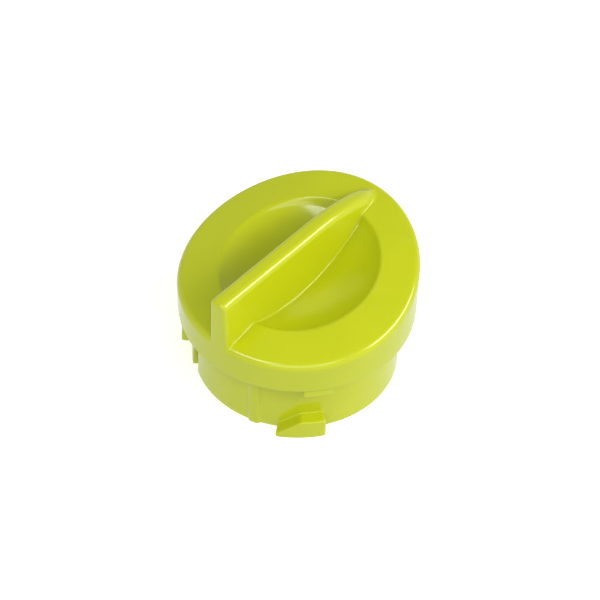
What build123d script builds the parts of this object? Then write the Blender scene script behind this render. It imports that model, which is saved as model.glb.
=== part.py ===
from build123d import *

import math
import os

# Twist-lock cap of a wasp trap, with the lure holder that it carries inside.
# Millimetres, +Z up. The origin is the centre of the seating plane, which is the lower
# edge of the cover wall, where the cap rests on the trap's neck. The thumb fin lies along X:
# its tall end is at -X and its low end at +X.

# Cover: a round wall with a sloping crowned top, a bowl sunk into it and a thumb fin across
WALL_R = 40.0
WALL_DRAFT = 0.045
FRONT_H = 12.5
RAMP_START_X = -34.0
RAMP_R = 200.0
CROWN = 5.2
RIM_ROUND = 2.0
SKIN = 2.0

BOWL_R = 52.0
BOWL_X = -6.0
BOWL_LOW_Z = 10.6
BOWL_RIM_R = 28.2
BOWL_RIM_Z = 18.0
BOWL_FLARE = 0.05
BOWL_ROUND = 2.5

FIN_TOP_Z = 33.2
FIN_HALF_W = 4.3
FIN_DRAFT_DEG = 2.1
FIN_FALL_X = 8.0
FIN_TIP_X = 39.6
FIN_TIP_Z = 26.5
FIN_TAPER_X = 30.0
FIN_EDGE_ROUND = 1.3
FIN_BASE_Z = 6.0

# Cover screws
SCREW_COUNT = 3
SCREW_CIRCLE_R = 27.5
SCREW_FIRST_DEG = 90.0
SCREW_R = 1.5
SCREW_HEAD_R = 2.8
SCREW_HEAD_H = 1.7
SCREW_LENGTH = 8.0
BOSS_R = 3.6

# Sleeve: the plug that goes into the neck, with its bayonet lugs
SLEEVE_R = 34.4
SLEEVE_DEPTH = 24.0
SLEEVE_WALL = 2.2
WEB_LOW_Z = 0.8
WEB_T = 2.0
WEB_GAP = 0.1
SCREW_HOLE_R = 1.7

LUG_TURNS_DEG = (-112.6, 0.0, 121.0)
LUG_START_DEG = 211.0
LUG_CREST_DEG = 223.6
LUG_END_DEG = 236.3
LUG_H = 7.6
LUG_TOE_H = 1.8
LUG_PROUD = 4.6
STOP_START_DEG = 224.5
STOP_END_DEG = 239.0
STOP_DROP = 3.2
STOP_IN_R = 37.0
STOP_OUT_R = 39.7
RIDGE_START_DEG = 194.2
RIDGE_END_DEG = 200.3
RIDGE_PROUD = 0.8
KEY_START_DEG = 127.0
KEY_END_DEG = 140.5
KEY_PROUD = 0.7
GROOVE_END_DEG = 147.3
GROOVE_R = 33.1
PAD_STOP_DEG = 8.0

# Neck gasket
GASKET_IN_R = 34.5
GASKET_OUT_R = 36.7
GASKET_DROP = 0.9
RIB_TOP_Z = -1.0

# Lure tray, pulled straight down out of the sleeve
TRAY_R = 31.4
TRAY_BORE_R = 28.9
TRAY_TOP_Z = -2.0
TRAY_FLOOR_Z = -16.0
TRAY_FLOOR_T = 2.0
TRAY_RIM_DROP = 2.5
SEAL_WIRE_R = 0.9
SEAL_CLEARANCE = 0.05
SEAL_Z = -8.0
PINCH_IN_R = 24.6
PINCH_OUT_R = 27.0
PINCH_HALF_DEG = 22.0
PINCH_DROP = 6.5

# Scent windows, the same in the tray floor and in the shutter
WINDOW_COUNT = 6
WINDOW_DEG = 28.0
WINDOW_IN_R = 8.0
WINDOW_OUT_R = 19.0
WINDOW_BAR_IN_R = 12.6
WINDOW_BAR_OUT_R = 14.2

# Rotary shutter under the tray floor
SHUTTER_R = 21.5
SHUTTER_T = 1.5
SHUTTER_GAP = 0.1
SHUTTER_TURN_DEG = 30.0
NUB_OUT_R = 23.4
NUB_HALF_DEG = 2.0
NUB_CLEAR_DEG = 0.15
CATCH_DEG = 2.5
CATCH_IN_R = 21.9
CATCH_OUT_R = 23.8
THUMB_IN_R = 9.0
THUMB_OUT_R = 19.0
THUMB_W = 2.0
THUMB_H = 3.4

# Rivet that the shutter turns on
RIVET_R = 2.5
RIVET_CLEARANCE = 0.06
RIVET_HEAD_R = 5.0
RIVET_HEAD_H = 1.2
RIVET_CLINCH_R = 4.0
RIVET_CLINCH_H = 1.0

# Lure pad
LURE_R = 28.4
LURE_BORE_R = 5.2
LURE_H = 9.0
LURE_GAP = 0.2


def ring(inner_r, outer_r, low_z, high_z):
    """A round tube about the Z axis."""
    height = high_z - low_z
    outer = Pos(0, 0, low_z) * Cylinder(outer_r, height, align=(Align.CENTER, Align.CENTER, Align.MIN))
    if inner_r <= 0:
        return outer
    inner = Pos(0, 0, low_z) * Cylinder(inner_r, height, align=(Align.CENTER, Align.CENTER, Align.MIN))
    return outer - inner


def on_circle(radius, degrees):
    """The point at this radius and angle, in plan."""
    angle = math.radians(degrees)
    return (radius * math.cos(angle), radius * math.sin(angle))


def sector(inner_r, outer_r, low_z, high_z, start_deg, end_deg):
    """A piece of a round tube between two angles."""
    inner_start = on_circle(inner_r, start_deg)
    inner_end = on_circle(inner_r, end_deg)
    outer_start = on_circle(outer_r, start_deg)
    outer_middle = on_circle(outer_r, (start_deg + end_deg) / 2)
    outer_end = on_circle(outer_r, end_deg)
    outline = Polyline(inner_end, inner_start, outer_start)
    outline += ThreePointArc(outer_start, outer_middle, outer_end)
    outline += Line(outer_end, inner_end)
    wedge = Pos(0, 0, low_z) * extrude(make_face(outline), high_z - low_z)
    return wedge - ring(0, inner_r, low_z - 1, high_z + 1)


def joined(shapes):
    """All the shapes as one."""
    whole = shapes[0]
    for shape in shapes[1:]:
        whole += shape
    return whole


def spaced(shape, count):
    """The shape and its copies, evenly round the Z axis."""
    return joined([Rot(0, 0, 360 / count * index) * shape for index in range(count)])


def at_each_lug(shape):
    """The shape and its copies at the three lugs, unevenly spaced so the cap fits one way only."""
    return joined([Rot(0, 0, turn_deg) * shape for turn_deg in LUG_TURNS_DEG])


def top_z(x, y):
    """Height of the sloping top: a long upward arc from the tall end of the fin, crowned."""
    run = max(0.0, x - RAMP_START_X)
    slope = RAMP_R - math.sqrt(RAMP_R**2 - run**2)
    return FRONT_H + slope + CROWN * (1 - (x**2 + y**2) / WALL_R**2)


def wall_form(inset):
    """The tapered round block inside which the cover lies."""
    low_r = WALL_R - inset
    height = FIN_TOP_Z + 8
    profile = Polyline((0, 0), (low_r, 0), (low_r + WALL_DRAFT * height, height), (0, height), close=True)
    return revolve(Plane.XZ * make_face(profile), Axis.Z)


def above_top(inset):
    """The space above the sloping top."""
    reach = WALL_R + 3
    steps = 14
    places = [reach * (2 * index / steps - 1) for index in range(steps + 1)]
    grid = [[Vector(x, y, top_z(x, y) - inset) for y in places] for x in places]
    surface = Face.make_surface_from_array_of_points(grid, tol=0.005)
    return Solid.extrude(surface, Vector(0, 0, 60))


def bowl_form(grow):
    """The bowl in the top: a ball's underside inside a slightly flared rim."""
    ball = Pos(BOWL_X, 0, BOWL_LOW_Z + BOWL_R) * Sphere(BOWL_R + grow)
    low_z = 2.0
    high_z = 40.0
    low_r = BOWL_RIM_R + grow + BOWL_FLARE * (low_z - BOWL_RIM_Z)
    high_r = BOWL_RIM_R + grow + BOWL_FLARE * (high_z - BOWL_RIM_Z)
    flare = Cone(low_r, high_r, high_z - low_z, align=(Align.CENTER, Align.CENTER, Align.MIN))
    return ball & (Pos(0, 0, low_z) * flare)


def fin_plan(inset):
    """Plan of the fin at its base: parallel sides and a pointed far end."""
    half = FIN_HALF_W - inset
    tip_x = FIN_TIP_X - inset
    near_x = -WALL_R - 6
    length = tip_x - FIN_TAPER_X
    arc_r = (length**2 + half**2) / (2 * half)
    turn = math.asin(length / arc_r) / 2
    bend = (FIN_TAPER_X + arc_r * math.sin(turn), half - arc_r * (1 - math.cos(turn)))
    outline = Polyline((FIN_TAPER_X, half), (near_x, half), (near_x, -half), (FIN_TAPER_X, -half))
    outline += ThreePointArc((FIN_TAPER_X, -half), (bend[0], -bend[1]), (tip_x, 0))
    outline += ThreePointArc((tip_x, 0), bend, (FIN_TAPER_X, half))
    return make_face(outline)


def fin_side(inset):
    """Everything under the crest of the fin, as seen from the side."""
    top_z = FIN_TOP_Z - inset
    near_x = -WALL_R - 8
    far_x = WALL_R + 8
    drop = FIN_TOP_Z - FIN_TIP_Z
    length = FIN_TIP_X - FIN_FALL_X
    arc_r = (length**2 + drop**2) / (2 * drop)

    def crest_z(x):
        return top_z - arc_r + math.sqrt(arc_r**2 - (x - FIN_FALL_X) ** 2)

    mid_x = (FIN_FALL_X + far_x) / 2
    outline = Line((near_x, top_z), (FIN_FALL_X, top_z))
    outline += ThreePointArc((FIN_FALL_X, top_z), (mid_x, crest_z(mid_x)), (far_x, crest_z(far_x)))
    outline += Polyline((far_x, crest_z(far_x)), (far_x, 0), (near_x, 0), (near_x, top_z))
    return extrude(Plane.XZ * make_face(outline), WALL_R, both=True)


def fin_form(inset):
    """The thumb fin, its tall end flush with the wall."""
    height = FIN_TOP_Z + 4 - FIN_BASE_Z
    blade = Pos(0, 0, FIN_BASE_Z) * extrude(fin_plan(inset), height, taper=FIN_DRAFT_DEG)
    return blade & fin_side(inset) & wall_form(inset)


def cover_outside():
    """The cover's outer form, with its rounded edges."""
    block = wall_form(0) - above_top(0)
    rim = [edge for edge in block.edges() if edge.center().Z > FRONT_H - 0.5]
    bowl = bowl_form(0)
    foot = [edge for edge in bowl.edges() if edge.geom_type != GeomType.LINE and edge.center().Z < 30]
    bowl = fillet(foot, BOWL_ROUND)
    fin = fin_form(0)
    fin_edges = [edge for edge in fin.edges() if edge.center().Z > FRONT_H]
    return fillet(rim, RIM_ROUND) - bowl + fillet(fin_edges, FIN_EDGE_ROUND)


def cover_hollow():
    """The space inside the cover: under the top, round the bowl and up inside the fin."""
    under_top = wall_form(SKIN) - above_top(SKIN) - bowl_form(SKIN)
    return under_top + fin_form(SKIN)


def screw_places():
    """The three places on the screw circle."""
    turns_deg = [SCREW_FIRST_DEG + 360 / SCREW_COUNT * index for index in range(SCREW_COUNT)]
    return [Pos(*on_circle(SCREW_CIRCLE_R, turn_deg), 0) for turn_deg in turns_deg]


def grip_cover():
    """Hollow moulded cover with the bowl, the thumb fin and three screw bosses."""
    outside = cover_outside()
    web_top = WEB_LOW_Z + WEB_T
    boss = ring(0, BOSS_R, web_top, FIN_TOP_Z)
    bosses = [place * boss for place in screw_places()]
    inner_block = wall_form(SKIN / 2) - above_top(SKIN / 2) - bowl_form(SKIN / 2)
    shell = outside - cover_hollow()
    for post in bosses:
        shell += post & inner_block
    pilot = ring(0, SCREW_R, WEB_LOW_Z, WEB_LOW_Z + SCREW_LENGTH + 0.5)
    for place in screw_places():
        shell -= place * pilot
    return shell


def lug():
    """One bayonet lug: a level crest with a ramp down to its leading end."""
    low_z = -SLEEVE_DEPTH
    outer_r = SLEEVE_R + LUG_PROUD
    block = sector(SLEEVE_R - 0.5, outer_r, low_z, low_z + LUG_H, LUG_START_DEG, LUG_END_DEG)
    run = (SLEEVE_R + LUG_PROUD / 2) * math.radians(LUG_CREST_DEG - LUG_START_DEG)
    slope = (LUG_H - LUG_TOE_H) / run
    past = run + 4
    high_z = LUG_H + 2
    wedge = Polyline((0, LUG_H), (past, LUG_H - slope * past), (past, high_z), (0, high_z), close=True)
    cutter = extrude(Plane.XZ * make_face(wedge), -2 * SLEEVE_R)
    cutter = Rot(0, 0, LUG_CREST_DEG - 90) * Pos(0, 0, low_z) * cutter
    return block - cutter


def stop_block():
    """One stop that hangs from the web, just inside the line of the cover wall."""
    hanging = sector(STOP_IN_R, STOP_OUT_R, -STOP_DROP, 0, STOP_START_DEG, STOP_END_DEG)
    inner_r = WALL_R - SKIN - WEB_GAP
    root = sector(STOP_IN_R, inner_r, -STOP_DROP, WEB_LOW_Z + WEB_T, STOP_START_DEG, STOP_END_DEG)
    return hanging + root


def rib(proud, start_deg, end_deg):
    """A flat rib down the outside of the sleeve, below the gasket."""
    return sector(SLEEVE_R - 0.5, SLEEVE_R + proud, -SLEEVE_DEPTH, RIB_TOP_Z, start_deg, end_deg)


def bayonet_sleeve():
    """Plug with a closing web on top, three lugs, stops and ridges, one key rib and its groove."""
    web_r = WALL_R - SKIN - WEB_GAP
    web_top = WEB_LOW_Z + WEB_T
    sleeve = ring(SLEEVE_R - SLEEVE_WALL, SLEEVE_R, -SLEEVE_DEPTH, web_top)
    sleeve += ring(0, web_r, WEB_LOW_Z, web_top)
    sleeve += at_each_lug(rib(RIDGE_PROUD, RIDGE_START_DEG, RIDGE_END_DEG))
    sleeve += at_each_lug(lug())
    sleeve += at_each_lug(stop_block())
    sleeve += rib(KEY_PROUD, KEY_START_DEG, KEY_END_DEG)
    sleeve -= sector(GROOVE_R, SLEEVE_R + 1, -SLEEVE_DEPTH - 1, RIB_TOP_Z, KEY_END_DEG, GROOVE_END_DEG)
    pad = sector(TRAY_BORE_R, SLEEVE_R - 0.5, TRAY_TOP_Z, web_top, -PAD_STOP_DEG, PAD_STOP_DEG)
    sleeve += spaced(Rot(0, 0, SCREW_FIRST_DEG + 60) * pad, 3)
    for place in screw_places():
        sleeve -= place * ring(0, SCREW_HOLE_R, WEB_LOW_Z - 1, web_top + 1)
    return sleeve


def cover_screws():
    """Three pan-head screws, driven up through the web into the cover's bosses."""
    head = ring(0, SCREW_HEAD_R, WEB_LOW_Z - SCREW_HEAD_H, WEB_LOW_Z)
    low_rim = [edge for edge in head.edges() if edge.center().Z < WEB_LOW_Z - SCREW_HEAD_H / 2]
    low_rim = [edge for edge in low_rim if edge.geom_type == GeomType.CIRCLE]
    head = fillet(low_rim, SCREW_HEAD_H * 0.45)
    recess = Pos(0, 0, WEB_LOW_Z - SCREW_HEAD_H) * (Box(3.2, 0.7, 1.8) + Box(0.7, 3.2, 1.8))
    screw = head + ring(0, SCREW_R, WEB_LOW_Z, WEB_LOW_Z + SCREW_LENGTH) - recess
    return Compound([place * screw for place in screw_places()])


def neck_gasket():
    """Square-section rubber ring that the trap's neck presses on."""
    return ring(GASKET_IN_R, GASKET_OUT_R, -GASKET_DROP, WEB_LOW_Z)


def window():
    """One scent window as a cutter through both the tray floor and the shutter."""
    half = WINDOW_DEG / 2
    low_z = TRAY_FLOOR_Z - SHUTTER_GAP - SHUTTER_T - 1
    high_z = TRAY_FLOOR_Z + TRAY_FLOOR_T + 1
    return sector(WINDOW_IN_R, WINDOW_OUT_R, low_z, high_z, -half, half)


def lure_tray():
    """Open-topped tray with scent windows in its floor, two pinch ribs and the shutter's stops."""
    floor_top = TRAY_FLOOR_Z + TRAY_FLOOR_T
    tray = ring(TRAY_BORE_R, TRAY_R, TRAY_FLOOR_Z - TRAY_RIM_DROP, TRAY_TOP_Z)
    tray += ring(0, TRAY_BORE_R + 0.5, TRAY_FLOOR_Z, floor_top)
    seal_mid_r = SLEEVE_R - SLEEVE_WALL - SEAL_CLEARANCE - SEAL_WIRE_R
    groove_half = SEAL_WIRE_R + 0.1
    tray -= ring(seal_mid_r - SEAL_WIRE_R, TRAY_R + 1, SEAL_Z - groove_half, SEAL_Z + groove_half)
    tray -= spaced(window(), WINDOW_COUNT)
    tray += ring(WINDOW_BAR_IN_R, WINDOW_BAR_OUT_R, TRAY_FLOOR_Z, floor_top)
    tray -= ring(0, RIVET_R, TRAY_FLOOR_Z - 1, floor_top + 1)
    low_z = TRAY_FLOOR_Z - PINCH_DROP
    pinch = sector(PINCH_IN_R, PINCH_OUT_R, low_z, floor_top, 90 - PINCH_HALF_DEG, 90 + PINCH_HALF_DEG)
    tray += spaced(pinch, 2)
    catch_low = TRAY_FLOOR_Z - SHUTTER_GAP - SHUTTER_T
    clear = NUB_HALF_DEG + NUB_CLEAR_DEG
    for start_deg in (-clear - CATCH_DEG, SHUTTER_TURN_DEG + clear):
        tray += sector(CATCH_IN_R, CATCH_OUT_R, catch_low, floor_top, start_deg, start_deg + CATCH_DEG)
    return tray


def tray_seal():
    """Rubber ring in the tray's groove: it grips the sleeve and keeps the lure's liquid in."""
    middle_r = SLEEVE_R - SLEEVE_WALL - SEAL_CLEARANCE - SEAL_WIRE_R
    return Pos(0, 0, SEAL_Z) * Torus(middle_r, SEAL_WIRE_R)


def vent_shutter():
    """Disc that turns under the tray floor to open or close the scent windows."""
    high_z = TRAY_FLOOR_Z - SHUTTER_GAP
    low_z = high_z - SHUTTER_T
    disc = ring(RIVET_R + RIVET_CLEARANCE, SHUTTER_R, low_z, high_z)
    disc += sector(SHUTTER_R - 0.5, NUB_OUT_R, low_z, high_z, -NUB_HALF_DEG, NUB_HALF_DEG)
    disc -= spaced(window(), WINDOW_COUNT)
    length = THUMB_OUT_R - THUMB_IN_R
    thumb = Pos((THUMB_IN_R + THUMB_OUT_R) / 2, 0, low_z - THUMB_H / 2) * Box(length, THUMB_W, THUMB_H)
    return disc + Rot(0, 0, 180 / WINDOW_COUNT) * thumb


def shutter_rivet():
    """Rivet pressed into the tray floor, with the shutter free to turn round it."""
    head_top = TRAY_FLOOR_Z - 2 * SHUTTER_GAP - SHUTTER_T
    floor_top = TRAY_FLOOR_Z + TRAY_FLOOR_T
    rivet = ring(0, RIVET_HEAD_R, head_top - RIVET_HEAD_H, head_top)
    rivet += ring(0, RIVET_R, head_top, floor_top)
    rivet += ring(0, RIVET_CLINCH_R, floor_top, floor_top + RIVET_CLINCH_H)
    return rivet


def lure_pad():
    """Felt disc soaked with the lure, lying on the tray floor."""
    low_z = TRAY_FLOOR_Z + TRAY_FLOOR_T + LURE_GAP
    return ring(LURE_BORE_R, LURE_R, low_z, low_z + LURE_H)


PIECES = {
    "grip_cover": grip_cover,
    "bayonet_sleeve": bayonet_sleeve,
    "cover_screws": cover_screws,
    "neck_gasket": neck_gasket,
    "lure_tray": lure_tray,
    "tray_seal": tray_seal,
    "lure_pad": lure_pad,
    "vent_shutter": vent_shutter,
    "shutter_rivet": shutter_rivet,
}

os.makedirs("parts", exist_ok=True)
for name, build in PIECES.items():
    export_step(build(), f"parts/{name}.step")
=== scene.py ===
import math

import bpy
import numpy as np
import openvdb
from mathutils import Matrix, Vector

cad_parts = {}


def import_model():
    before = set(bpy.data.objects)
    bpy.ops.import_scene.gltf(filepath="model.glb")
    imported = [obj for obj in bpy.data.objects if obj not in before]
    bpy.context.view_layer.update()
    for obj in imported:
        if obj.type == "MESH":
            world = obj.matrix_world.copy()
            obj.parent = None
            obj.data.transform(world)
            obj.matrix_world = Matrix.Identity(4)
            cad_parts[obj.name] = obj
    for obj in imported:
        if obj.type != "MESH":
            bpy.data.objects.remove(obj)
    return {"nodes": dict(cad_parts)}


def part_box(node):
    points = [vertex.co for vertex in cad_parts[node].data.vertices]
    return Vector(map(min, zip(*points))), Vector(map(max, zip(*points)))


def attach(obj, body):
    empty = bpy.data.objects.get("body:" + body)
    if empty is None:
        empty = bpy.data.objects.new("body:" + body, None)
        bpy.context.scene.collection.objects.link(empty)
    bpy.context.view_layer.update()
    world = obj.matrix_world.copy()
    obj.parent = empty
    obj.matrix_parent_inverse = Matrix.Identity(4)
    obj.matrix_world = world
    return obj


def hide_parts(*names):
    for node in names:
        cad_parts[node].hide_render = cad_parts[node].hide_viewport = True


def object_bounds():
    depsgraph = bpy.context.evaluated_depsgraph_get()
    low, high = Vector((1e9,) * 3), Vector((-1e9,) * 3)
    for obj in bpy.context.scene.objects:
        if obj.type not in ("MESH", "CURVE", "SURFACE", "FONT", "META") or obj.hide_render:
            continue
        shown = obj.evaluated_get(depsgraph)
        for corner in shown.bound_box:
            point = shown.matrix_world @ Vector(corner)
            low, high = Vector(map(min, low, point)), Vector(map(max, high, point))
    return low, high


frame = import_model()
cad_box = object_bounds()

# Looks of the wasp trap cap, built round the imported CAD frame, in the frame's axes.
# The moulded pieces are drawn again from distance fields, so that their edges and inside
# corners are rounded as a mould leaves them. Fields are in millimetres, the scene in metres.
MM = 0.001
NO_BORE = -1.0

# Cover; its top rises towards +X, and the fin runs from its tall end at -X to its tip at +X.
# The slope's cosine turns a height above the sloping top into a distance from it.
WALL_R = 40.0
WALL_DRAFT = 0.045
FRONT_H = 12.5
RAMP_START_X = -34.0
RAMP_R = 200.0
CROWN = 5.2
TOP_SLOPE_COSINE = 0.96
RIM_ROUND = 2.0
SKIN = 2.0
BOWL_R = 52.0
BOWL_X = -6.0
BOWL_LOW_Z = 10.6
BOWL_RIM_R = 28.2
BOWL_RIM_Z = 18.0
BOWL_FLARE = 0.05
BOWL_ROUND = 2.5
BOWL_EDGE_ROUND = 0.7
FIN_TOP_Z = 33.2
FIN_HALF_W = 4.3
FIN_DRAFT = 0.0367
FIN_BASE_Z = 6.0
FIN_FALL_X = 8.0
FIN_TIP_X = 39.6
FIN_TIP_Z = 26.5
FIN_TAPER_X = 30.0
FIN_EDGE_ROUND = 2.3
FIN_EDGE_ROUND_GAIN = 0.6
FIN_EDGE_GAIN_X = 35.0
FIN_FOOT_ROUND = 0.45
FIN_TIP_BLEND = 2.2
FIN_TIP_BLEND_START_X = 32.0
FIN_TIP_BLEND_LENGTH = 7.0
FIN_TIP_SINK = 0.12
FIN_TIP_SINK_X = 35.0
FIN_END_ROUND = 1.7

# Sleeve; the lug, stop and ridge angles are those of the lug whose turn is zero
SLEEVE_R = 34.4
SLEEVE_IN_R = 32.2
SLEEVE_LOW_Z = -24.0
WEB_LOW_Z = 0.8
WEB_TOP_Z = 2.8
WEB_R = 37.9
LUG_TURNS_DEG = (-112.6, 0.0, 121.0)
LUG_START_DEG = 211.0
LUG_CREST_DEG = 223.6
LUG_END_DEG = 236.3
LUG_TOP_Z = -16.4
LUG_SLOPE = 0.715
LUG_R = 39.0
LUG_EDGE_ROUND = 0.5
STOP_START_DEG = 224.5
STOP_END_DEG = 239.0
STOP_LOW_Z = -3.2
STOP_TOP_Z = -0.02
STOP_IN_R = 37.0
STOP_OUT_R = 39.7
RIB_TOP_Z = -1.0
RIDGE_START_DEG = 194.2
RIDGE_END_DEG = 200.3
RIDGE_PROUD = 0.75
KEY_START_DEG = 127.0
KEY_END_DEG = 140.5
KEY_PROUD = 0.7
GROOVE_END_DEG = 147.3
GROOVE_R = 33.1
GROOVE_CUT_R = 37.0
PAD_HALF_DEG = 8.0
PAD_TURN_DEG = 150.0
SCREW_TURN_DEG = 90.0
SCREW_R = 27.5
SCREW_HOLE_R = 1.7

# Tray, shutter and rivet; the shutter is drawn open, with its nub at 0 degrees
TRAY_R = 31.4
TRAY_BORE_R = 28.9
TRAY_TOP_Z = -2.0
FLOOR_LOW_Z = -16.0
FLOOR_TOP_Z = -14.0
TRAY_LOW_Z = -18.5
SEAL_Z = -8.0
SEAL_R = 31.25
SEAL_WIRE_R = 0.9
SEAL_GROOVE_HALF_H = 1.0
SHUTTER_LOW_Z = -17.6
SHUTTER_TOP_Z = -16.1
SHUTTER_R = 21.5
SHUTTER_BORE_R = 2.56
NUB_OUT_R = 23.4
NUB_HALF_DEG = 2.0
THUMB_TURN_DEG = 30.0
THUMB_HALF_W = 1.0
THUMB_IN_R = 9.0
THUMB_OUT_R = 19.0
THUMB_LOW_Z = -21.0
CATCH_IN_R = 21.9
CATCH_OUT_R = 23.8
CATCH_DEG = 2.5
CATCH_STARTS_DEG = (-4.65, 32.15)
PINCH_TURN_DEG = 90.0
PINCH_IN_R = 24.6
PINCH_OUT_R = 27.0
PINCH_HALF_DEG = 22.0
PINCH_LOW_Z = -22.5
WINDOW_IN_R = 8.0
WINDOW_OUT_R = 19.0
WINDOW_HALF_DEG = 14.0
WINDOW_BAR_IN_R = 12.6
WINDOW_BAR_OUT_R = 14.2
RIVET_R = 2.5
RIVET_HEAD_R = 5.0
RIVET_HEAD_LOW_Z = -18.9
RIVET_HEAD_TOP_Z = -17.7
RIVET_DOME_R = 12.0
RIVET_CLINCH_R = 4.0
RIVET_CLINCH_TOP_Z = -13.0

# Neck gasket
GASKET_IN_R = 34.5
GASKET_OUT_R = 36.7
GASKET_LOW_Z = -0.9
GASKET_EDGE_ROUND = 0.25

# Lure pad and its loose fibres
LURE_BORE_R = 5.4
LURE_R = 28.1
LURE_LOW_Z = -13.7
LURE_TOP_Z = -5.1
FIBRES_IN_R = 6.2
FIBRES_OUT_R = 27.4

# The mix node's colour sockets
MIX_FIRST = 6
MIX_SECOND = 7
MIX_RESULT = 2

# Stage, in metres; the aim is off the frame's origin by these shares of the view's width
LIGHT_DISTANCE = 1.2
CAMERA_DISTANCE = 3.2
CAMERA_AZIMUTH_DEG = -50.0
CAMERA_ELEVATION_DEG = 46.9
CAMERA_ROLL_DEG = 1.6
SENSOR_WIDTH_MM = 36
VIEW_WIDTH = 0.20163
AIM_RIGHT = 0.00494
AIM_UP = 0.0077


# ---------------------------------------------------------------- distance fields, in mm
def round_max(a, b, radius):
    """Overlap of two fields with its edge rounded."""
    corner = np.hypot(np.maximum(a + radius, 0), np.maximum(b + radius, 0))
    return np.minimum(-radius, np.maximum(a, b)) + corner


def round_min(a, b, radius):
    """Union of two fields with its inside corner filled."""
    corner = np.hypot(np.maximum(radius - a, 0), np.maximum(radius - b, 0))
    return np.maximum(radius, np.minimum(a, b)) - corner


def between(value, low, high):
    """Negative inside the range, the distance to it outside."""
    return np.maximum(low - value, value - high)


def ring(x, y, z, inner_r, outer_r, low_z, high_z, edge=0.3):
    """A round tube about the Z axis."""
    return round_max(between(np.hypot(x, y), inner_r, outer_r), between(z, low_z, high_z), edge)


def turned(x, y, degrees):
    """The coordinates as seen by something turned by this angle about the Z axis."""
    angle = math.radians(degrees)
    return x * math.cos(angle) + y * math.sin(angle), y * math.cos(angle) - x * math.sin(angle)


def sector(x, y, z, inner_r, outer_r, low_z, high_z, start_deg, end_deg, edge=0.3):
    """A piece of a round tube between two angles."""
    along, across = turned(x, y, (start_deg + end_deg) / 2)
    half = math.radians((end_deg - start_deg) / 2)
    sides = np.abs(across) * math.cos(half) - along * math.sin(half)
    plan = round_max(between(np.hypot(x, y), inner_r, outer_r), sides, edge)
    return round_max(plan, between(z, low_z, high_z), edge)


def folded(x, y, count):
    """Every one of the equal sectors brought round to the first one."""
    step = 2 * math.pi / count
    angle = np.arctan2(y, x)
    angle = angle - step * np.round(angle / step)
    reach = np.hypot(x, y)
    return reach * np.cos(angle), reach * np.sin(angle)


def settle(points, field, rounds=3):
    """Moves each point along the field's slope until it lies on the surface."""
    nudge = 0.01
    least_slope = 0.05
    longest_move = 0.3
    for _ in range(rounds):
        here = field(*points.T)
        slope = np.stack([(field(*(points + nudge * unit).T) - here) / nudge for unit in np.eye(3)], 1)
        size = np.maximum((slope**2).sum(1), least_slope)
        move = np.clip(here / size, -longest_move, longest_move)
        points = points - slope * move[:, None]
    return points


def new_piece(name, points, faces):
    """A smooth mesh object from points in millimetres."""
    mesh = bpy.data.meshes.new(name)
    mesh.from_pydata((np.asarray(points) * MM).tolist(), [], faces)
    mesh.validate()
    mesh.shade_smooth()
    piece = bpy.data.objects.new(name, mesh)
    bpy.context.scene.collection.objects.link(piece)
    return piece


def field_piece(name, node, body, field, cell):
    """Draws a CAD node again as the surface where the field is zero."""
    margin = 2
    low, high = (np.array(corner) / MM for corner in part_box(node))
    low, high = low - margin, high + margin
    counts = [int(math.ceil((b - a) / cell)) + 1 for a, b in zip(low, high)]
    axes = [(a + cell * np.arange(n)).astype(np.float32) for a, n in zip(low, counts)]
    values = field(*np.meshgrid(*axes, indexing="ij")).astype(np.float32)
    grid = openvdb.FloatGrid(background=float(values.max()))
    grid.copyFromArray(values)
    points, quads = grid.convertToQuads(isovalue=0.0)[:2]
    points = settle(points.astype(float) * cell + low, field)
    piece = new_piece(name, points, quads[:, ::-1].tolist())
    return in_place_of(piece, node, body)


def in_place_of(piece, node, body):
    """Puts a drawn piece on its body, in the place of a CAD node."""
    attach(piece, body)
    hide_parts(node)
    return piece


def lathe_piece(name, node, body, profile, steps=192):
    """Draws a CAD node again as a closed profile of (radius, z) turned about the Z axis."""
    angles = 2 * math.pi * np.arange(steps) / steps
    points = [(r * math.cos(a), r * math.sin(a), z) for a in angles for r, z in profile]
    count = len(profile)
    faces = []
    for turn in range(steps):
        here, there = turn * count, (turn + 1) % steps * count
        for index in range(count):
            after = (index + 1) % count
            faces.append((here + index, there + index, there + after, here + after))
    return in_place_of(new_piece(name, points, faces), node, body)


# ---------------------------------------------------------------- cover
def top_height(x, y):
    """Height of the sloping crowned top."""
    run = np.maximum(x - RAMP_START_X, 0)
    slope = RAMP_R - np.sqrt(RAMP_R**2 - run**2)
    return FRONT_H + slope + CROWN * (1 - (x**2 + y**2) / WALL_R**2)


def bowl_field(x, y, z):
    """The bowl: a ball's underside inside a slightly flared rim."""
    ball = np.sqrt((x - BOWL_X) ** 2 + y**2 + (z - BOWL_LOW_Z - BOWL_R) ** 2) - BOWL_R
    flare = (np.hypot(x, y) - BOWL_RIM_R - BOWL_FLARE * (z - BOWL_RIM_Z)) / math.hypot(1, BOWL_FLARE)
    return round_max(ball, flare, BOWL_ROUND)


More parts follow.
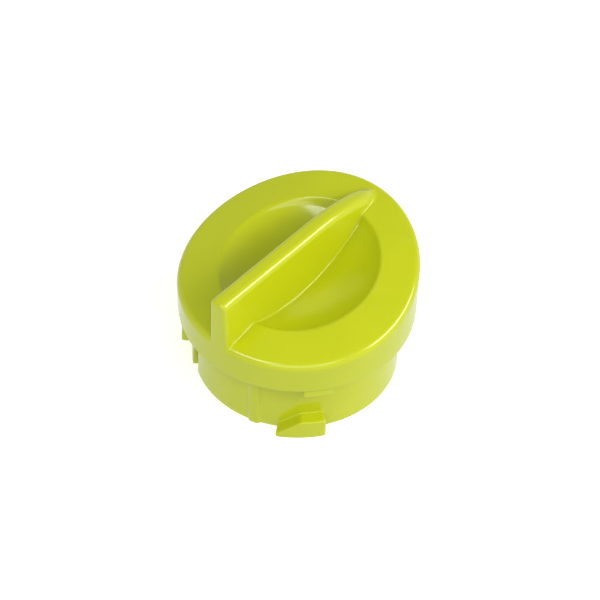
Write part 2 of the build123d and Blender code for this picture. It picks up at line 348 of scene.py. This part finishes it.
def fin_field(x, y, z):
    """The fin's sides and crest, running past the wall at its tall end."""
    tip = np.clip((x - FIN_TAPER_X) / (FIN_TIP_X - FIN_TAPER_X), 0, 1.3)
    half = FIN_HALF_W * (1 - tip**2) - FIN_DRAFT * (z - FIN_BASE_Z)
    lean = 2 * FIN_HALF_W * tip / (FIN_TIP_X - FIN_TAPER_X)
    side = (np.abs(y) - half) / np.sqrt(1 + lean**2)
    drop = FIN_TOP_Z - FIN_TIP_Z
    length = FIN_TIP_X - FIN_FALL_X
    arc_r = (length**2 + drop**2) / (2 * drop)
    fall = np.clip(x - FIN_FALL_X, 0, arc_r * 0.9)
    crest = FIN_TOP_Z - arc_r + np.sqrt(arc_r**2 - fall**2)
    crest = crest - FIN_TIP_SINK * np.clip(x - FIN_TIP_SINK_X, 0, 6) ** 2
    edge_round = FIN_EDGE_ROUND + FIN_EDGE_ROUND_GAIN * np.clip(x / FIN_EDGE_GAIN_X, 0, 1)
    return round_max(side, z - crest, edge_round)


def cover_field(x, y, z):
    """The cover: its outer form made hollow, open below."""
    over_top = (z - top_height(x, y)) * TOP_SLOPE_COSINE
    over_top = round_max(over_top, -bowl_field(x, y, z), BOWL_EDGE_ROUND)
    wall = np.hypot(x, y) - WALL_R - WALL_DRAFT * z
    block = round_max(over_top, wall, RIM_ROUND)
    fin = round_max(fin_field(x, y, z), wall, FIN_END_ROUND)
    near_tip = np.clip((x - FIN_TIP_BLEND_START_X) / FIN_TIP_BLEND_LENGTH, 0, 1)
    foot_round = FIN_FOOT_ROUND + FIN_TIP_BLEND * near_tip
    lump = np.maximum(round_min(block, fin, foot_round), wall)
    shell = np.maximum(lump, -(lump + SKIN))
    return round_max(shell, -z, 0.35)


# ---------------------------------------------------------------- sleeve
def lug_field(x, y, z):
    """One bayonet lug: a level crest with a ramp down to its leading end."""
    past_crest = -turned(x, y, LUG_CREST_DEG)[1]
    ramp = (z - LUG_TOP_Z + LUG_SLOPE * past_crest) / math.hypot(1, LUG_SLOPE)
    top = round_max(z - LUG_TOP_Z, ramp, LUG_EDGE_ROUND)
    body = sector(x, y, z, SLEEVE_R - 1, LUG_R, SLEEVE_LOW_Z, 0, LUG_START_DEG, LUG_END_DEG, 0.7)
    return round_max(body, top, LUG_EDGE_ROUND)


def stop_field(x, y, z):
    """One stop block under the cover wall, and its root beside the web."""
    ends_deg = (STOP_START_DEG, STOP_END_DEG)
    hanging = sector(x, y, z, STOP_IN_R, STOP_OUT_R, STOP_LOW_Z, STOP_TOP_Z, *ends_deg, 0.25)
    root = sector(x, y, z, STOP_IN_R, WEB_R, STOP_LOW_Z, WEB_TOP_Z, *ends_deg, 0.25)
    return np.minimum(hanging, root)


def rib_field(x, y, z, proud, start_deg, end_deg, edge):
    """A flat rib down the outside of the sleeve."""
    outer_r = SLEEVE_R + proud
    return sector(x, y, z, SLEEVE_R - 1, outer_r, SLEEVE_LOW_Z, RIB_TOP_Z, start_deg, end_deg, edge)


def sleeve_field(x, y, z):
    """The plug with its web, lugs, stops, ridges, key rib and groove."""
    sleeve = ring(x, y, z, SLEEVE_IN_R, SLEEVE_R, SLEEVE_LOW_Z, WEB_TOP_Z, 1.0)
    for turn_deg in LUG_TURNS_DEG:
        u, v = turned(x, y, turn_deg)
        ridge = rib_field(u, v, z, RIDGE_PROUD, RIDGE_START_DEG, RIDGE_END_DEG, 0.7)
        sleeve = round_min(sleeve, ridge, 0.9)
        sleeve = round_min(sleeve, lug_field(u, v, z), 0.35)
    key_rib = rib_field(x, y, z, KEY_PROUD, KEY_START_DEG, KEY_END_DEG, 0.4)
    sleeve = round_min(sleeve, key_rib, 0.3)
    cut = (GROOVE_R, GROOVE_CUT_R, SLEEVE_LOW_Z - 3, RIB_TOP_Z)
    groove = sector(x, y, z, *cut, KEY_END_DEG, GROOVE_END_DEG, 0.2)
    sleeve = round_max(sleeve, -groove, 0.35)
    web = ring(x, y, z, NO_BORE, WEB_R, WEB_LOW_Z, WEB_TOP_Z)
    sleeve = round_min(sleeve, web, 0.3)
    for turn_deg in LUG_TURNS_DEG:
        sleeve = np.minimum(sleeve, stop_field(*turned(x, y, turn_deg), z))
    u, v = folded(*turned(x, y, PAD_TURN_DEG), 3)
    ends_deg = (-PAD_HALF_DEG, PAD_HALF_DEG)
    pad = sector(u, v, z, TRAY_BORE_R, SLEEVE_R - 0.5, TRAY_TOP_Z, WEB_TOP_Z, *ends_deg)
    sleeve = np.minimum(sleeve, pad)
    u, v = folded(*turned(x, y, SCREW_TURN_DEG), 3)
    sleeve = np.maximum(sleeve, SCREW_HOLE_R - np.hypot(u - SCREW_R, v))
    return np.maximum(sleeve, SLEEVE_LOW_Z - z)


# ---------------------------------------------------------------- lure tray and shutter
def window_field(x, y, z):
    """The six scent windows."""
    u, v = folded(x, y, 6)
    ends_deg = (-WINDOW_HALF_DEG, WINDOW_HALF_DEG)
    return sector(u, v, z, WINDOW_IN_R, WINDOW_OUT_R, SLEEVE_LOW_Z - 6, 0, *ends_deg, 0.6)


def tray_field(x, y, z):
    """The tray with its window floor, seal groove, pinch ribs and shutter catches."""
    tray = ring(x, y, z, TRAY_BORE_R, TRAY_R, TRAY_LOW_Z, TRAY_TOP_Z, 0.6)
    base = ring(x, y, z, RIVET_R, TRAY_BORE_R + 1, FLOOR_LOW_Z, FLOOR_TOP_Z, 0.25)
    base = round_max(base, -window_field(x, y, z), 0.25)
    tray = round_min(tray, base, 0.5)
    bar = ring(x, y, z, WINDOW_BAR_IN_R, WINDOW_BAR_OUT_R, FLOOR_LOW_Z, FLOOR_TOP_Z, 0.25)
    tray = np.minimum(tray, bar)
    ends_z = (SEAL_Z - SEAL_GROOVE_HALF_H, SEAL_Z + SEAL_GROOVE_HALF_H)
    groove = ring(x, y, z, SEAL_R - SEAL_WIRE_R, TRAY_R + 3, *ends_z, 0.2)
    tray = round_max(tray, -groove, 0.2)
    u, v = folded(*turned(x, y, PINCH_TURN_DEG), 2)
    ends_deg = (-PINCH_HALF_DEG, PINCH_HALF_DEG)
    pinch = sector(u, v, z, PINCH_IN_R, PINCH_OUT_R, PINCH_LOW_Z, FLOOR_TOP_Z, *ends_deg, 0.7)
    tray = round_min(tray, pinch, 0.4)
    for start_deg in CATCH_STARTS_DEG:
        ends_deg = (start_deg, start_deg + CATCH_DEG)
        catch = sector(x, y, z, CATCH_IN_R, CATCH_OUT_R, SHUTTER_LOW_Z, FLOOR_TOP_Z, *ends_deg, 0.2)
        tray = np.minimum(tray, catch)
    return tray


def shutter_field(x, y, z):
    """The shutter disc with its windows, end nub and thumb rib."""
    disc = ring(x, y, z, SHUTTER_BORE_R, SHUTTER_R, SHUTTER_LOW_Z, SHUTTER_TOP_Z, 0.35)
    disc = round_max(disc, -window_field(x, y, z), 0.3)
    ends_deg = (-NUB_HALF_DEG, NUB_HALF_DEG)
    nub = sector(x, y, z, SHUTTER_R - 1, NUB_OUT_R, SHUTTER_LOW_Z, SHUTTER_TOP_Z, *ends_deg)
    disc = round_min(disc, nub, 0.2)
    along, across = turned(x, y, THUMB_TURN_DEG)
    thumb = round_max(between(along, THUMB_IN_R, THUMB_OUT_R), np.abs(across) - THUMB_HALF_W, 0.6)
    thumb = round_max(thumb, between(z, THUMB_LOW_Z, SHUTTER_TOP_Z), 0.5)
    return round_min(disc, thumb, 0.5)


# ---------------------------------------------------------------- rubber, rivet and felt
def rounded_profile(inner_r, outer_r, low_z, high_z, radius, steps=5):
    """A rectangle with rounded corners, as (radius, z) points."""
    corners = (
        (outer_r - radius, high_z - radius, 0),
        (inner_r + radius, high_z - radius, 90),
        (inner_r + radius, low_z + radius, 180),
        (outer_r - radius, low_z + radius, 270),
    )
    points = []
    for centre_r, centre_z, first_deg in corners:
        for index in range(steps + 1):
            angle = math.radians(first_deg + 90 * index / steps)
            points.append((centre_r + radius * math.cos(angle), centre_z + radius * math.sin(angle)))
    return points[::-1]


def seal_profile(steps=24):
    """The seal wire's round section, as (radius, z) points."""
    angles = [-2 * math.pi * index / steps for index in range(steps)]
    return [(SEAL_R + SEAL_WIRE_R * math.cos(a), SEAL_Z + SEAL_WIRE_R * math.sin(a)) for a in angles]


def rivet_field(x, y, z):
    """Rivet with a domed head below and a clinched end above the tray floor."""
    head = ring(x, y, z, NO_BORE, RIVET_HEAD_R, RIVET_HEAD_LOW_Z, RIVET_HEAD_TOP_Z, 0.25)
    dome_z = RIVET_HEAD_LOW_Z + RIVET_DOME_R
    dome = np.sqrt(x**2 + y**2 + (z - dome_z) ** 2) - RIVET_DOME_R
    shank = ring(x, y, z, NO_BORE, RIVET_R, RIVET_HEAD_LOW_Z + 0.5, RIVET_CLINCH_TOP_Z - 0.4, 0.1)
    clinch = ring(x, y, z, NO_BORE, RIVET_CLINCH_R, FLOOR_TOP_Z, RIVET_CLINCH_TOP_Z, 0.4)
    return np.minimum(np.minimum(np.maximum(head, dome), shank), clinch)


def uneven(x, y, z, rng, scale, count=14):
    """A smooth random field made of waves in random directions."""
    total = 0
    for _ in range(count):
        across = rng.normal(size=3) * scale
        total = total + np.sin(across[0] * x + across[1] * y + across[2] * z + rng.uniform(0, 6.28))
    return total / math.sqrt(count)


def felt_field(x, y, z):
    """The lure pad: a thick needled felt ring, lumpy and soft at its edges."""
    pad = ring(x, y, z, LURE_BORE_R, LURE_R, LURE_LOW_Z, LURE_TOP_Z, 1.3)
    rng = np.random.default_rng(7)
    return pad + 0.13 * uneven(x, y, z, rng, 0.5) + 0.06 * uneven(x, y, z, rng, 2.2)


def strand_points(rng):
    """One loose fibre on a face of the pad: five triangles along a thin bent strand."""
    reach = math.sqrt(rng.uniform(FIBRES_IN_R**2, FIBRES_OUT_R**2))
    angle = rng.uniform(0, 2 * math.pi)
    top = rng.uniform() < 0.5
    z = LURE_TOP_Z if top else LURE_LOW_Z
    centre = np.array([reach * math.cos(angle), reach * math.sin(angle), z])
    heading = rng.uniform(0, 2 * math.pi)
    bend = rng.uniform(-0.9, 0.9)
    length = rng.uniform(0.7, 2.0)
    lift = rng.uniform(0.0, 0.16) * (1 if top else -1)
    width = rng.uniform(0.018, 0.035)
    rise = np.array([0, 0, width if top else -width])
    points = []
    for share in (-0.5, -0.25, 0.0, 0.25, 0.5):
        turn = heading + bend * share
        forward = np.array([math.cos(turn), math.sin(turn), 0]) * share * length
        spine = centre + forward + np.array([0, 0, lift * (1 - 4 * share**2)])
        side = np.array([-math.sin(turn), math.cos(turn), 0]) * width
        points += [spine + side, spine - side, spine + rise]
    return points


def strand_faces(first):
    """The sides and ends of a strand whose points start at this index."""
    faces = []
    for base in range(first, first + 12, 3):
        for corner in range(3):
            after = (corner + 1) % 3
            faces.append((base + corner, base + after, base + 3 + after, base + 3 + corner))
    faces.append((first, first + 2, first + 1))
    faces.append((first + 12, first + 13, first + 14))
    return faces


def felt_fibres(count=5200):
    """Loose fibres lying on the pad's faces."""
    rng = np.random.default_rng(11)
    points, faces = [], []
    for _ in range(count):
        faces += strand_faces(len(points))
        points += strand_points(rng)
    fibres = new_piece("lure_fibres", points, faces)
    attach(fibres, "lure_tray")
    return fibres


# ---------------------------------------------------------------- materials
class Nodes:
    """A shader tree with short ways to add small nodes to it."""

    def __init__(self, tree):
        self.tree = tree

    def add(self, kind):
        return self.tree.nodes.new("ShaderNode" + kind)

    def join(self, source, target):
        self.tree.links.new(source, target)

    def feed(self, value, socket):
        """Sets an input to a value or to another node's output."""
        if isinstance(value, bpy.types.NodeSocket):
            self.join(value, socket)
        else:
            socket.default_value = value

    def spread(self, source, low, high, to_low=0.0, to_high=1.0):
        """Maps the source's low..high to to_low..to_high and holds it there outside."""
        ranged = self.add("MapRange")
        values = (("From Min", low), ("From Max", high), ("To Min", to_low), ("To Max", to_high))
        for name, value in values:
            ranged.inputs[name].default_value = value
        self.join(source, ranged.inputs["Value"])
        return ranged.outputs["Result"]

    def tinted(self, factor, first, second):
        """Goes from the first colour to the second as the factor goes from 0 to 1."""
        mix = self.add("Mix")
        mix.data_type = "RGBA"
        for index, colour in ((MIX_FIRST, first), (MIX_SECOND, second)):
            self.feed((*colour, 1) if isinstance(colour, tuple) else colour, mix.inputs[index])
        self.join(factor, mix.inputs[0])
        return mix.outputs[MIX_RESULT]


class Look(Nodes):
    """A material whose shader is put together from small textures in object space."""

    def __init__(self, name):
        self.material = bpy.data.materials.new(name)
        self.material.use_nodes = True
        super().__init__(self.material.node_tree)
        self.shader = self.tree.nodes["Principled BSDF"]
        self.place = self.add("TexCoord").outputs["Object"]

    def put(self, name, value):
        """Feeds the shader's input of this name."""
        self.feed(value, self.shader.inputs[name])

    def noise(self, scale, detail=3.0, stretch=(1, 1, 1), warp=0.0):
        """Noise of so many spots per metre, fewer along an axis whose stretch is below 1."""
        mapping = self.add("Mapping")
        mapping.inputs["Scale"].default_value = stretch
        self.join(self.place, mapping.inputs["Vector"])
        texture = self.add("TexNoise")
        texture.inputs["Scale"].default_value = scale
        texture.inputs["Detail"].default_value = detail
        texture.inputs["Distortion"].default_value = warp
        self.join(mapping.outputs["Vector"], texture.inputs["Vector"])
        return texture.outputs["Fac"]

    def sum(self, first, second, weight=1.0):
        """The first signal plus the second times the weight."""
        total = self.add("Math")
        total.operation = "MULTIPLY_ADD"
        self.join(second, total.inputs[0])
        total.inputs[1].default_value = weight
        self.join(first, total.inputs[2])
        return total.outputs[0]

    def bump(self, height, distance):
        """Raises the surface by the height signal times this distance in metres."""
        bumps = self.add("Bump")
        bumps.inputs["Distance"].default_value = distance
        self.join(height, bumps.inputs["Height"])
        self.join(bumps.outputs["Normal"], self.shader.inputs["Normal"])


def green_plastic(name, colour, roughness, wave):
    """Injection-moulded lime plastic: flow tint, orange peel, draw marks and hairline scuffs."""
    look = Look(name)
    flow = look.spread(look.noise(28, 4, warp=0.6), 0.3, 0.7)
    deep = tuple(part * share for part, share in zip(colour, (0.93, 0.955, 0.85)))
    base = look.tinted(flow, colour, deep)
    dust = look.spread(look.noise(240, 6), 0.62, 0.8, 0.0, 0.03)
    look.put("Base Color", look.tinted(dust, base, (0.72, 0.72, 0.62)))
    scuffs = look.spread(look.noise(900, 2, (1, 0.06, 0.06), 0.4), 0.68, 0.76)
    cross_scuffs = look.spread(look.noise(800, 2, (0.05, 1, 0.2), 0.5), 0.69, 0.77)
    smudges = look.spread(look.noise(70, 3), 0.35, 0.75, roughness - 0.02, roughness + 0.05)
    rough = look.sum(smudges, scuffs, 0.03)
    look.put("Roughness", look.sum(rough, cross_scuffs, 0.03))
    look.put("IOR", 1.5)
    look.put("Subsurface Weight", 0.12)
    look.put("Subsurface Radius", (1.0, 1.0, 0.15))
    look.put("Subsurface Scale", 1.2 * MM)
    draw_marks = look.noise(150, 2, (1, 1, 0.02))
    peel = look.noise(1300, 2)
    height = look.sum(look.sum(peel, draw_marks, wave), scuffs, -0.05)
    look.bump(height, 0.006 * MM)
    return look.material


def black_rubber():
    """Matt black rubber with a greyish bloom."""
    look = Look("black_rubber")
    bloom = look.spread(look.noise(120, 5), 0.45, 0.75)
    look.put("Base Color", look.tinted(bloom, (0.012, 0.012, 0.013), (0.05, 0.05, 0.048)))
    look.put("Roughness", look.spread(look.noise(300, 4), 0.3, 0.7, 0.5, 0.72))
    look.bump(look.noise(2500, 4), 0.03 * MM)
    return look.material


def screw_steel():
    """Zinc plated steel, mottled."""
    look = Look("screw_steel")
    zinc = look.spread(look.noise(500, 4, warp=0.8), 0.35, 0.7)
    look.put("Base Color", look.tinted(zinc, (0.62, 0.63, 0.64), (0.42, 0.44, 0.46)))
    look.put("Metallic", 1.0)
    look.put("Roughness", look.spread(look.noise(900, 3), 0.3, 0.7, 0.22, 0.42))
    look.bump(look.noise(3000, 3, (1, 1, 0.1)), 0.01 * MM)
    return look.material


def lure_felt():
    """Off-white needled felt with patches soaked brown."""
    look = Look("lure_felt")
    soaked = look.spread(look.noise(60, 4, warp=0.5), 0.42, 0.62)
    cloth = look.tinted(soaked, (0.72, 0.68, 0.55), (0.55, 0.46, 0.27))
    fibres = look.spread(look.noise(1500, 4, (1, 0.15, 1), 1.5), 0.4, 0.7, 0.0, 0.5)
    look.put("Base Color", look.tinted(fibres, cloth, (0.86, 0.83, 0.74)))
    look.put("Roughness", look.spread(soaked, 0, 1, 0.95, 0.6))
    look.put("Sheen Weight", 0.35)
    look.bump(look.noise(1800, 5, (1, 0.2, 1), 2.0), 0.25 * MM)
    return look.material


def dress(piece, material):
    """Gives a piece this one material."""
    piece.data.materials.clear()
    piece.data.materials.append(material)


# ---------------------------------------------------------------- stage
def direction(azimuth_deg, elevation_deg):
    """Unit vector from the cap towards this azimuth and elevation; azimuth 0 is the -Y side."""
    azimuth, elevation = math.radians(azimuth_deg), math.radians(elevation_deg)
    level = math.cos(elevation)
    return Vector((math.sin(azimuth) * level, -math.cos(azimuth) * level, math.sin(elevation)))


def area_light(name, azimuth_deg, elevation_deg, size, power, tint=(1, 1, 1)):
    """A softbox that faces the cap from this direction."""
    away = direction(azimuth_deg, elevation_deg)
    lamp = bpy.data.lights.new(name, "AREA")
    lamp.shape = "RECTANGLE"
    lamp.size, lamp.size_y = size
    lamp.energy = power
    lamp.color = tint
    holder = bpy.data.objects.new(name, lamp)
    holder.location = away * LIGHT_DISTANCE
    holder.rotation_euler = away.to_track_quat("Z", "Y").to_euler()
    bpy.context.scene.collection.objects.link(holder)


def camera():
    """Long lens at the viewing angle of the photograph."""
    azimuth = math.radians(CAMERA_AZIMUTH_DEG)
    roll = math.radians(CAMERA_ROLL_DEG)
    back = direction(CAMERA_AZIMUTH_DEG, CAMERA_ELEVATION_DEG)
    flat_right = Vector((math.cos(azimuth), math.sin(azimuth), 0))
    flat_up = back.cross(flat_right)
    right = flat_right * math.cos(roll) + flat_up * math.sin(roll)
    up = flat_up * math.cos(roll) - flat_right * math.sin(roll)
    lens = bpy.data.cameras.new("camera")
    lens.sensor_width = SENSOR_WIDTH_MM
    lens.lens = SENSOR_WIDTH_MM * CAMERA_DISTANCE / VIEW_WIDTH
    lens.clip_start = 0.1
    lens.clip_end = 50
    holder = bpy.data.objects.new("camera", lens)
    aim = right * (AIM_RIGHT * VIEW_WIDTH) + up * (AIM_UP * VIEW_WIDTH)
    axes = Matrix((right, up, back)).transposed().to_4x4()
    holder.matrix_world = Matrix.Translation(back * CAMERA_DISTANCE + aim) @ axes
    bpy.context.scene.collection.objects.link(holder)
    bpy.context.scene.camera = holder


def floor_paper():
    """White paper that only the camera sees, and only from above; other rays pass through it."""
    look = Look("floor_paper")
    look.put("Base Color", look.tinted(look.noise(400, 4), (0.9, 0.9, 0.9), (0.93, 0.93, 0.925)))
    look.put("Roughness", 0.95)
    look.put("Specular IOR Level", 0.1)
    look.put("Emission Color", (1, 1, 1, 1))
    look.put("Emission Strength", 0.3)
    look.bump(look.noise(900, 3), 0.02 * MM)
    seen = look.add("Math")
    seen.operation = "SUBTRACT"
    seen.use_clamp = True
    look.join(look.add("LightPath").outputs["Is Camera Ray"], seen.inputs[0])
    look.join(look.add("NewGeometry").outputs["Backfacing"], seen.inputs[1])
    mix = look.add("MixShader")
    look.join(seen.outputs[0], mix.inputs[0])
    look.join(look.add("BsdfTransparent").outputs[0], mix.inputs[1])
    look.join(look.shader.outputs[0], mix.inputs[2])
    look.join(mix.outputs[0], look.tree.nodes["Material Output"].inputs["Surface"])
    return look.material


def floor():
    """A flat sheet just under the sleeve's lower edge."""
    size = 3.0
    z = cad_box[0][2] - 0.05 * MM
    corners = [(-size, -size, z), (size, -size, z), (size, size, z), (-size, size, z)]
    mesh = bpy.data.meshes.new("floor")
    mesh.from_pydata(corners, [], [(0, 1, 2, 3)])
    mesh.materials.append(floor_paper())
    sheet = bpy.data.objects.new("floor", mesh)
    bpy.context.scene.collection.objects.link(sheet)


def world():
    """Dim room that is lighter near the horizon, with a greenish ceiling."""
    sky = bpy.data.worlds.new("studio")
    sky.use_nodes = True
    nodes = Nodes(sky.node_tree)
    background = nodes.tree.nodes["Background"]
    split = nodes.add("SeparateXYZ")
    nodes.join(nodes.add("TexCoord").outputs["Generated"], split.inputs[0])
    height = split.outputs["Z"]
    nodes.join(nodes.spread(height, 0.0, 0.9, 1.0, 0.36), background.inputs["Strength"])
    nodes.join(nodes.tinted(height, (0.97, 1, 1), (0.93, 1, 0.88)), background.inputs["Color"])
    bpy.context.scene.world = sky


# Looks by material slot
looks = {
    "cover_green": green_plastic("cover_green", (0.42, 0.455, 0.005), 0.17, 0.5),
    "sleeve_green": green_plastic("sleeve_green", (0.425, 0.458, 0.006), 0.18, 1.2),
    "tray_green": green_plastic("tray_green", (0.32, 0.355, 0.006), 0.2, 0.6),
    "black_rubber": black_rubber(),
    "screw_steel": screw_steel(),
    "lure_felt": lure_felt(),
}

# Piece, CAD node, body, material slot, field, size of the field's cells in mm
FIELD_PIECES = (
    ("cover_moulding", "grip_cover", "cap", "cover_green", cover_field, 0.33),
    ("sleeve_moulding", "bayonet_sleeve", "cap", "sleeve_green", sleeve_field, 0.32),
    ("tray_moulding", "lure_tray", "lure_tray", "tray_green", tray_field, 0.4),
    ("shutter_moulding", "vent_shutter", "vent_shutter", "tray_green", shutter_field, 0.4),
    ("rivet_moulding", "shutter_rivet", "lure_tray", "tray_green", rivet_field, 0.25),
    ("lure_felt_pad", "lure_pad", "lure_tray", "lure_felt", felt_field, 0.5),
)
for name, node, body, slot, field, cell in FIELD_PIECES:
    dress(field_piece(name, node, body, field, cell), looks[slot])
dress(felt_fibres(), looks["lure_felt"])

gasket_profile = rounded_profile(GASKET_IN_R, GASKET_OUT_R, GASKET_LOW_Z, WEB_LOW_Z, GASKET_EDGE_ROUND)
gasket = lathe_piece("gasket_ring", "neck_gasket", "cap", gasket_profile)
dress(gasket, looks["black_rubber"])
seal = lathe_piece("seal_ring", "tray_seal", "lure_tray", seal_profile())
dress(seal, looks["black_rubber"])
dress(frame["nodes"]["cover_screws"], looks["screw_steel"])

floor()
world()
area_light("right_box", 27, 35, (0.8, 0.42), 12, (1, 0.955, 0.9))
area_light("left_box", -95, 54, (0.6, 0.35), 5)
area_light("front_box", -45, 38, (1.0, 0.6), 4.5, (1, 0.98, 0.94))
camera()
bpy.context.scene.view_settings.view_transform = "Standard"
